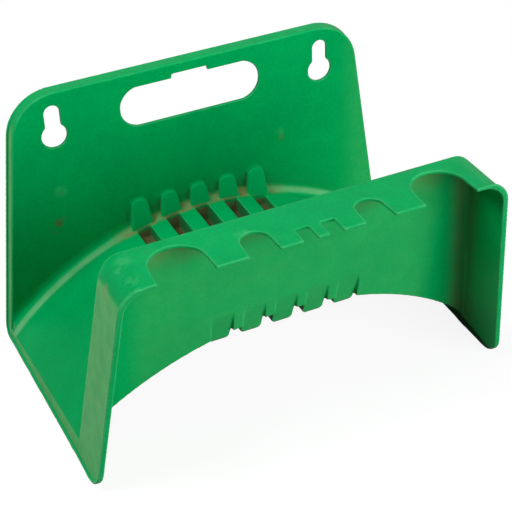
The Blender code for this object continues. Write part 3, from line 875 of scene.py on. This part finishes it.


# Painted sheen on faces turned sideways and to the front, an olive tone under the rail, and pale
# smears
SIDE_OUTWARD = (0.90, 0.97)
SIDE_X = (100, 106)
SIDE_SHARE = 0.29
PLATE_FACING = (0.75, 0.92)
PLATE_X = (101, 86)
PLATE_SHARE = 0.066
PANEL_END_X = (100, 122)
PANEL_END_Y = (-16, -12)
PANEL_END_FACING = (0.80, 0.95)
PANEL_END_SHARE = 0.07
BEHIND_NOTCH_Z = (-46, -27)
BEHIND_NOTCH_SHARE = 0.55
SMEAR_SHARE = 0.09


def painted_sheen_and_marks(at, colour):
    """Painted sheen on the sides, front plate and panel's right end, smears on the rail, and an olive
    tone behind the notches.
    """
    tree = at.tree
    # Painted sheen: faces turned sideways are painted paler, as a warm reflection.
    sides = product(
        tree, ramp(tree, at.outward, *SIDE_OUTWARD), fade(tree, at.wide_x, SIDE_X), at.mottle,
        SIDE_SHARE,
    )
    colour = blend(tree, sides, colour, PAINTED_SHEEN)
    # Painted sheen on the front plate's face.
    plate = product(
        tree, at.front, rest(tree, at.rail), ramp(tree, at.facing, *PLATE_FACING),
        fade(tree, at.wide_x, PLATE_X),
    )
    colour = blend(tree, product(tree, plate, at.mottle, PLATE_SHARE), colour, PAINTED_SHEEN)
    # Painted sheen on the back panel's right end.
    panel_end = product(
        tree, fade(tree, at.x, PANEL_END_X), fade(tree, at.y, PANEL_END_Y),
        ramp(tree, at.facing, *PANEL_END_FACING), at.mottle, PANEL_END_SHARE,
    )
    colour = blend(tree, panel_end, colour, PAINTED_SHEEN)
    behind = product(tree, plate, fade(tree, at.z, BEHIND_NOTCH_Z), at.mottle, BEHIND_NOTCH_SHARE)
    colour = blend(tree, behind, colour, OLIVE)
    smears = product(tree, at.rail, at.grain(SMEARS), SMEAR_SHARE)
    return blend(tree, smears, colour, PALE_GREEN)


# Brown dirt with painted shade in the recesses, painted shade in the wide corners, and painted light
# on the tabs and the saddle's crown
RECESS_REACH = 14                 # how far around a point a recess is felt
RECESS_OPEN = (0.62, 0.12)
RECESS_UP = (0.25, 0.75)
LEAST_LYING = 0.18                # what stays on faces that don't look up
MIDDLE_X = (84, 60)               # most of the dirt and painted shade lies within this
LEAST_WIDE = 0.4                  # share of it that lies beyond
WIDE_OPEN = (0.72, 0.25)
WIDE_SHARE = 0.85
ROOT_OFF = (1.1, 0.5)             # off the root fillet's surface
ROOT_ABOVE = (9, 6)
CROWN_UP = (0.6, 0.8)             # saddle's crown
CROWN_AHEAD = (3, 8)
CROWN_ABOVE = (-2, -1)
CROWN_X = (90, 55)
CROWN_SHARE = 0.55                # how much lighter green the painted light makes the crown and the tabs

# How much of the dirt and painted shade each of these is free of
TAB_RAIL_SPARED = 0.9                # tabs and rail
ROOT_CLEAN = 0.8
FRONT_CLEAN = 0.5
CROWN_CLEAN = 0.9
CROWN_UNSHADED = 0.95
FRONT_UNSHADED = 0.9
CHANNEL_UNSHADED = 0.45


def recess_dirt_and_shade(at, colour):
    """Colour with the dirt, the painted shade and the painted light, and the mask of the dirt and
    shade.
    """
    tree = at.tree
    clean = product(tree, rest(tree, at.tab, TAB_RAIL_SPARED), rest(tree, at.rail, TAB_RAIL_SPARED))
    root = product(tree, fade(tree, at.off, ROOT_OFF), fade(tree, at.above, ROOT_ABOVE))
    lies = either(tree, ramp(tree, at.up, *RECESS_UP, LEAST_LYING, 1.0), rest(tree, at.channel))
    # Dirt with painted shade: recesses are browned and darkened where little space around them is
    # open.
    dirt_and_shade = product(
        tree, ramp(tree, open_share(tree, RECESS_REACH), *RECESS_OPEN), clean, lies,
        rest(tree, root, ROOT_CLEAN), rest(tree, at.front, FRONT_CLEAN),
        either(tree, at.front, fade(tree, at.wide_x, MIDDLE_X, LEAST_WIDE, 1.0)),
        at.grain(DIRT_SHADE_GRAIN),
    )
    crown = product(
        tree, ramp(tree, at.up, *CROWN_UP), fade(tree, at.ahead, CROWN_AHEAD),
        rest(tree, at.front), fade(tree, at.above, CROWN_ABOVE), fade(tree, at.wide_x, CROWN_X),
    )
    # Painted shade in the wide corners, where little space around is open.
    wide_shade = product(
        tree, ramp(tree, at.wide_open, *WIDE_OPEN, 0.0, WIDE_SHARE), clean,
        rest(tree, crown, CROWN_UNSHADED), rest(tree, at.front, FRONT_UNSHADED),
        rest(tree, at.channel, CHANNEL_UNSHADED),
    )
    colour = blend(tree, wide_shade, colour, SHADE)
    colour = blend(tree, product(tree, dirt_and_shade, rest(tree, crown, CROWN_CLEAN)), colour, GRIME)
    # Painted light: the tabs and the saddle's crown are painted lighter.
    painted_lift = product(tree, either(tree, at.tab, crown), CROWN_SHARE)
    return blend(tree, painted_lift, colour, TAB_GREEN), dirt_and_shade


# Brown dust in the channels
SILT_ABOVE = (-1.4, -2.6)
SILT_X = (60, 55)
SILT_UP = (0.45, 0.80)
SILT_FACING = (0.5, 0.8)


def channel_silt(at, colour):
    """Dust on the channels' floors and rear ends."""
    tree = at.tree
    silt = product(
        tree, rest(tree, at.front), fade(tree, at.above, SILT_ABOVE),
        fade(tree, at.wide_x, SILT_X),
        either(tree, ramp(tree, at.up, *SILT_UP), ramp(tree, at.facing, *SILT_FACING)),
        at.grain(SILT_GRAIN),
    )
    return blend(tree, silt, colour, SILT)


# Painted light low on the front pan's inner sides, and painted brown shade in its inside corners
INNER_OUTWARD = (-0.6, -0.9)
INNER_Z = (-66, -125)
INNER_SHARE = 0.55
CORNER_OFF = (16, 4)              # off the line where plate and end flange meet
CORNER_INSIDE = (-1.2, -0.4)      # inside the end flange's inner face
CORNER_OPEN = (0.80, 0.62)
CORNER_SHARE = 0.50


def pan_light_and_shade(at, colour):
    """Painted light on the front pan's inner sides and painted shade in its inside corners."""
    tree = at.tree
    # Painted light: the pan's inner sides are painted paler low down.
    inner_side = product(
        tree, at.front, ramp(tree, at.outward, *INNER_OUTWARD), fade(tree, at.z, INNER_Z),
        INNER_SHARE,
    )
    colour = blend(tree, inner_side, colour, INNER_GREEN)
    # Painted shade: brown darkening in the corners where the front plate meets the end flanges.
    spread = (FRONT_BOTTOM_HALF - FRONT_TOP_HALF) / (RAIL_TOP - BAND_BOTTOM)
    inner = line(tree, at.drop, spread, FRONT_TOP_HALF - WALL)
    aside = maths(tree, "SUBTRACT", inner, at.wide_x, clamp=True)
    before = maths(tree, "SUBTRACT", at.plate_y, at.y, clamp=True)
    corner = product(
        tree, fade(tree, length(tree, aside, before), CORNER_OFF), at.front,
        rest(tree, at.rail), fade(tree, maths(tree, "SUBTRACT", inner, at.wide_x), CORNER_INSIDE),
        at.mottle, ramp(tree, at.wide_open, *CORNER_OPEN), CORNER_SHARE,
    )
    return blend(tree, corner, colour, BROWN)


# Painted highlight strip along the saddle's root fillet, with dust between the tabs
STRIP_SLOPE = 0.0345              # how much higher it lies per millimetre to the right
STRIP_START = -1.2                # in the middle, up from the fillet's own middle
STRIP_HALF = (4.2, 1.0)           # half width
STRIP_OFF = (1.3, 0.7)            # off the root fillet's surface
STRIP_SHARE = 0.95
DUST_HALF = (6, 3)
DUST_X = (64, 46)


def root_highlight_and_dust(at, colour):
    """Colour with the painted highlight strip and the dust, and the mask of the dust."""
    tree = at.tree
    middle = line(tree, at.x, STRIP_SLOPE, STRIP_START)
    across = maths(tree, "ABSOLUTE", maths(tree, "SUBTRACT", at.along, middle))
    # Painted highlight: a pale strip along the root fillet.
    strip = product(
        tree, fade(tree, across, STRIP_HALF), fade(tree, at.off, STRIP_OFF),
        at.grain(STRIP_GRAIN), STRIP_SHARE,
    )
    colour = blend(tree, strip, colour, ROOT_HIGHLIGHT)
    dusty = product(
        tree, fade(tree, across, DUST_HALF), fade(tree, at.off, STRIP_OFF),
        fade(tree, at.wide_x, DUST_X), at.grain(DUST_GRAIN),
    )
    return blend(tree, dusty, colour, DUST), dusty


# Painted shade under the front plate's lower edge and the flutes
UNDER_UP = (-0.45, -0.80)
UNDER_FACING = (0.75, 0.45)
UNDER_ABOVE = (0.5, -0.5)
UNDER_FOOT_Z = (-112.2, -113.2)   # lowest parts of the channels' ends
UNDER_FOOT_SHARE = 0.7
UNDER_Z = (-90, -97)
UNDER_X = (60, 54)
UNDER_SHARE = 0.9

# Painted shadow behind the front plate, inside the saddle's open ends
END_ABOVE = (-3, -4)
END_X = (64, 70)
END_BEHIND = (0.4, 1.2)           # behind the plate's front face
END_Y = (-100, -125)
END_OUTWARD = (0.5, 0.2)

# Painted shadow in a wedge along the lower edge of the end flanges' inner faces
WEDGE_SLOPE = 0.13
WEDGE_Z = (-141.2, -142.4)
WEDGE_OUTWARD = (0.3, -0.3)
WEDGE_X = (100, 106)
SHADOW_SHARE = 0.85


def dark_undersides(at, colour):
    """Painted shade and painted shadow where the front pan looks down or lies in its own shade."""
    tree = at.tree
    turned = either(
        tree, ramp(tree, at.up, *UNDER_UP),
        product(tree, ramp(tree, at.facing, *UNDER_FACING), fade(tree, at.above, UNDER_ABOVE)),
        product(tree, fade(tree, at.z, UNDER_FOOT_Z), UNDER_FOOT_SHARE),
    )
    # Painted shade: faces that look down are darkened brown.
    under = product(
        tree, at.front, turned, fade(tree, at.z, UNDER_Z), fade(tree, at.wide_x, UNDER_X),
        UNDER_SHARE,
    )
    colour = blend(tree, under, colour, GRIME)
    # Painted shadow, near black, inside the saddle's open ends and in a wedge along the end flanges'
    # lower edges.
    ends = product(
        tree, fade(tree, at.above, END_ABOVE), fade(tree, at.wide_x, END_X),
        fade(tree, maths(tree, "SUBTRACT", at.y, at.plate_y), END_BEHIND),
        fade(tree, at.y, END_Y), ramp(tree, at.outward, *END_OUTWARD), SHADOW_SHARE,
    )
    wedge = maths(tree, "SUBTRACT", at.z, maths(tree, "MULTIPLY", at.y, WEDGE_SLOPE))
    low_edge = product(
        tree, at.front, fade(tree, wedge, WEDGE_Z), ramp(tree, at.outward, *WEDGE_OUTWARD),
        fade(tree, at.wide_x, WEDGE_X), SHADOW_SHARE,
    )
    return blend(tree, either(tree, ends, low_edge), colour, PAINTED_SHADOW)


# Painted highlights on edges, where the surface stands out, and on the front lips of the pan
EDGE_STANDS_OUT = (0.505, 0.545)
EDGE_UP = (-0.50, -0.25)
RAIL_HIGHLIGHT = 0.45
TOP_Z = (-25, -18)
TOP_HIGHLIGHT = 0.5
LIP_BEHIND = (2.0, 0.9)           # behind the pan's front edge
LIP_Z = (-60, -30)
LIP_SHARE = 0.12


def painted_edge_highlights(at, colour):
    """Painted highlights on the edges, most on the rail and at the top."""
    tree = at.tree
    behind = maths(tree, "SUBTRACT", at.y, line(tree, at.drop, EDGE_LEAN, RAIL_FRONT_Y))
    # Painted highlight along the pan's front lips.
    lipped = product(tree, fade(tree, behind, LIP_BEHIND), fade(tree, at.z, LIP_Z), LIP_SHARE)
    colour = blend(tree, lipped, colour, PALE_GREEN)
    highlight_places = either(
        tree, at.grain(HIGHLIGHT_GRAIN), product(tree, at.rail, RAIL_HIGHLIGHT),
        product(tree, fade(tree, at.z, TOP_Z), TOP_HIGHLIGHT),
    )
    stands_out = node(tree, "ShaderNodeNewGeometry").outputs["Pointiness"]
    # Painted highlight on the edges that stand out.
    edge_highlight = product(
        tree, ramp(tree, stands_out, *EDGE_STANDS_OUT), highlight_places, rest(tree, at.tab),
        ramp(tree, at.up, *EDGE_UP),
    )
    return blend(tree, edge_highlight, colour, PALE_GREEN)


# Scuffs: centre, radius, share and colour
SCUFFS = [
    ((-96, -9, -92), 4.0, 0.5, BROWN_SCUFF),
    ((-93, -9, -88), 4.5, 0.7, BROWN_SCUFF),
    ((-89, -9, -85), 4.5, 0.6, BROWN_SCUFF),
    ((-89, -9, -66), 6.0, 0.3, PALE_GREEN),
    ((59, -9, -65), 4.5, 0.35, PALE_GREEN),
    ((60, -9, -69), 3.5, 0.3, BROWN_SCUFF),
    ((-106, -164, -22), 6.0, 0.35, PALE_GREEN),
    ((-101, -158, -20), 7.0, 0.35, PALE_GREEN),
    ((-103, -176, -21), 6.0, 0.3, PALE_GREEN),
    ((-114, -163, -33), 6.0, 0.32, SANDY_SCUFF),
    ((69, -150, -20), 5.0, 0.4, BROWN_SCUFF),
    ((-38, -164, -20), 6.0, 0.35, PALE_GREEN),
]
SCUFF_CORE = 0.3                  # share of its radius that a scuff covers evenly


def scuffs(at, colour):
    """Broken marks at their places."""
    tree = at.tree
    broken = at.grain(SCUFF_GRAIN)
    for centre, radius, share, tone in SCUFFS:
        gap = node(
            tree, "ShaderNodeVectorMath", [(0, at.place), (1, [c * MM for c in centre])],
            operation="DISTANCE",
        ).outputs["Value"]
        mark = product(tree, fade(tree, gap, (radius, SCUFF_CORE * radius)), broken, share)
        colour = blend(tree, mark, colour, tone)
    return colour


def bumps(at):
    """Normal of the slightly wavy surface and its fine grain."""
    normal = None
    for cells, detail, height, strength in BUMPS:
        wave = noise(at.tree, at.place, cells, detail)
        inputs = [("Height", wave), ("Distance", height * MM), ("Strength", strength)]
        if normal is not None:
            inputs.append(("Normal", normal))
        normal = node(at.tree, "ShaderNodeBump", inputs).outputs[0]
    return normal


def green_plastic():
    """Satin green polypropylene, with painted highlights on its edges and dirt with painted shade in
    its recesses.
    """
    material = bpy.data.materials.new("green_polypropylene")
    material.use_nodes = True
    tree = material.node_tree
    at = Surface(tree)
    colour = painted_sheen_and_marks(at, pigment(at))
    colour, dirt_and_shade = recess_dirt_and_shade(at, colour)
    colour = pan_light_and_shade(at, channel_silt(at, colour))
    colour, dusty = root_highlight_and_dust(at, colour)
    colour = painted_edge_highlights(at, dark_undersides(at, colour))
    colour = scuffs(at, colour)
    rougher = product(tree, either(tree, dirt_and_shade, dusty), DIRT_SHADE_ROUGHER)
    rough = maths(tree, "ADD", at.grain(SHEEN_GRAIN), rougher)
    shader = tree.nodes["Principled BSDF"]
    tree.links.new(colour, shader.inputs["Base Color"])
    tree.links.new(rough, shader.inputs["Roughness"])
    tree.links.new(bumps(at), shader.inputs["Normal"])
    shader.inputs["Specular IOR Level"].default_value = GLOSS
    shader.inputs["Specular Tint"].default_value = GLOSS_TINT
    return material


# The floor, in metres
FLOOR_HALF = 4.0
FLOOR_NEAR = 0.5          # from the hanger, where its shadow has ended
FLOOR_FAR = 1.1           # from the hanger, where the floor itself is white
FLOOR_GLOW = 0.89         # of 1, white, that the camera sees of the floor itself
FLOOR_GREY = 0.18         # colour that the lamps light there
FLOOR_WHITE = 0.95        # the floor's white in a reflection or through glass
FLOOR_ROUGHNESS = 0.9


def even_grey(level):
    """Grey or white as a colour."""
    return (level, level, level, 1.0)


def floor_paper():
    """Pale matt paper, whose own light only the camera sees."""
    material = bpy.data.materials.new("floor_paper")
    material.use_nodes = True
    tree = material.node_tree
    path = tree.nodes.new("ShaderNodeLightPath").outputs
    mirrored = either(tree, path["Is Glossy Ray"], path["Is Transmission Ray"])
    colour = blend(tree, mirrored, even_grey(FLOOR_GREY), even_grey(FLOOR_WHITE))
    place = tree.nodes.new("ShaderNodeTexCoord").outputs["Object"]
    away = node(tree, "ShaderNodeVectorMath", [(0, place)], operation="LENGTH").outputs["Value"]
    glow = product(tree, path["Is Camera Ray"], ramp(tree, away, FLOOR_NEAR, FLOOR_FAR, FLOOR_GLOW))
    shader = tree.nodes["Principled BSDF"]
    tree.links.new(colour, shader.inputs["Base Color"])
    tree.links.new(glow, shader.inputs["Emission Strength"])
    shader.inputs["Emission Color"].default_value = even_grey(1.0)
    shader.inputs["Roughness"].default_value = FLOOR_ROUGHNESS
    shader.inputs["Specular IOR Level"].default_value = 0.0
    return material


def floor(low):
    """Plain pale floor under the hanger's feet."""
    mesh = bpy.data.meshes.new("floor")
    signs = [(-1, -1), (1, -1), (1, 1), (-1, 1)]
    corners = [(a * FLOOR_HALF, b * FLOOR_HALF, low) for a, b in signs]
    mesh.from_pydata(corners, [], [(0, 1, 2, 3)])
    mesh.materials.append(floor_paper())
    return new_object("floor", mesh)


def world():
    """White that is seen, also in reflections and through glass."""
    made = bpy.data.worlds.new("studio")
    bpy.context.scene.world = made
    made.use_nodes = True
    tree = made.node_tree
    path = tree.nodes.new("ShaderNodeLightPath").outputs
    seen = either(tree, path["Is Camera Ray"], path["Is Glossy Ray"], path["Is Transmission Ray"])
    background = tree.nodes["Background"].inputs
    background["Color"].default_value = even_grey(1.0)
    tree.links.new(seen, background["Strength"])


# Soft round lamps: name, azimuth, elevation, size in metres, and how much of full white
# each gives a face that is turned to it
LAMPS = [
    ("key", 268, 57, 0.9, 0.64),
    ("fill", 24, 18, 1.3, 0.85),
    ("rim", 180, 13, 0.9, 0.28),
]
LAMP_DISTANCE = 1.6               # metres from the place that they are turned to
LAMP_TARGET = (0, -90, -85)


def lamp(name, azimuth, elevation, size, strength):
    """One of the lamps, turned to the hanger and not seen in its gloss."""
    turn, rise = math.radians(azimuth), math.radians(elevation)
    away = Vector((math.sin(turn) * math.cos(rise), -math.cos(turn) * math.cos(rise), math.sin(rise)))
    data = bpy.data.lights.new(name, "AREA")
    data.shape = "DISK"
    data.size = size
    data.energy = strength * (math.pi * LAMP_DISTANCE) ** 2
    obj = new_object(name, data)
    obj.location = Vector(LAMP_TARGET) * MM + away * LAMP_DISTANCE
    obj.rotation_euler = away.to_track_quat("Z", "Y").to_euler()
    obj.visible_glossy = False


# The camera, as fitted to the hanger's outline in the photograph
CAMERA_PLACE = (-281.353, -731.132, 395.482)
CAMERA_RIGHT = (0.904038, -0.426205, -0.032624)
CAMERA_UP = (0.268419, 0.506638, 0.81931)
CAMERA_AHEAD = (0.332665, 0.749445, -0.572421)
CAMERA_LENS = 100.342
CAMERA_SENSOR = 36.0


def camera():
    """Camera at the photograph's place."""
    data = bpy.data.cameras.new("camera")
    data.sensor_width = CAMERA_SENSOR
    data.lens = CAMERA_LENS
    obj = new_object("camera", data)
    turn = Matrix((CAMERA_RIGHT, CAMERA_UP, -Vector(CAMERA_AHEAD))).transposed().to_4x4()
    obj.matrix_world = Matrix.Translation(Vector(CAMERA_PLACE) * MM) @ turn
    bpy.context.scene.camera = obj


def hanger():
    """The whole moulding, as one piece that stands for its panels."""
    body = moulding()
    body.data.transform(Matrix.Translation((0, 0, -BACK_TOP * MM)))
    round_edges(body)
    body.name = "hanger_moulding"
    body.data.name = body.name
    body.data.materials.clear()
    body.data.materials.append(green_plastic())
    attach(body, "root")
    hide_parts(*sorted(frame["nodes"]))


bpy.context.scene.view_settings.view_transform = "Standard"
camera()
hanger()
floor(cad_box[0].z)
world()
for values in LAMPS:
    lamp(*values)
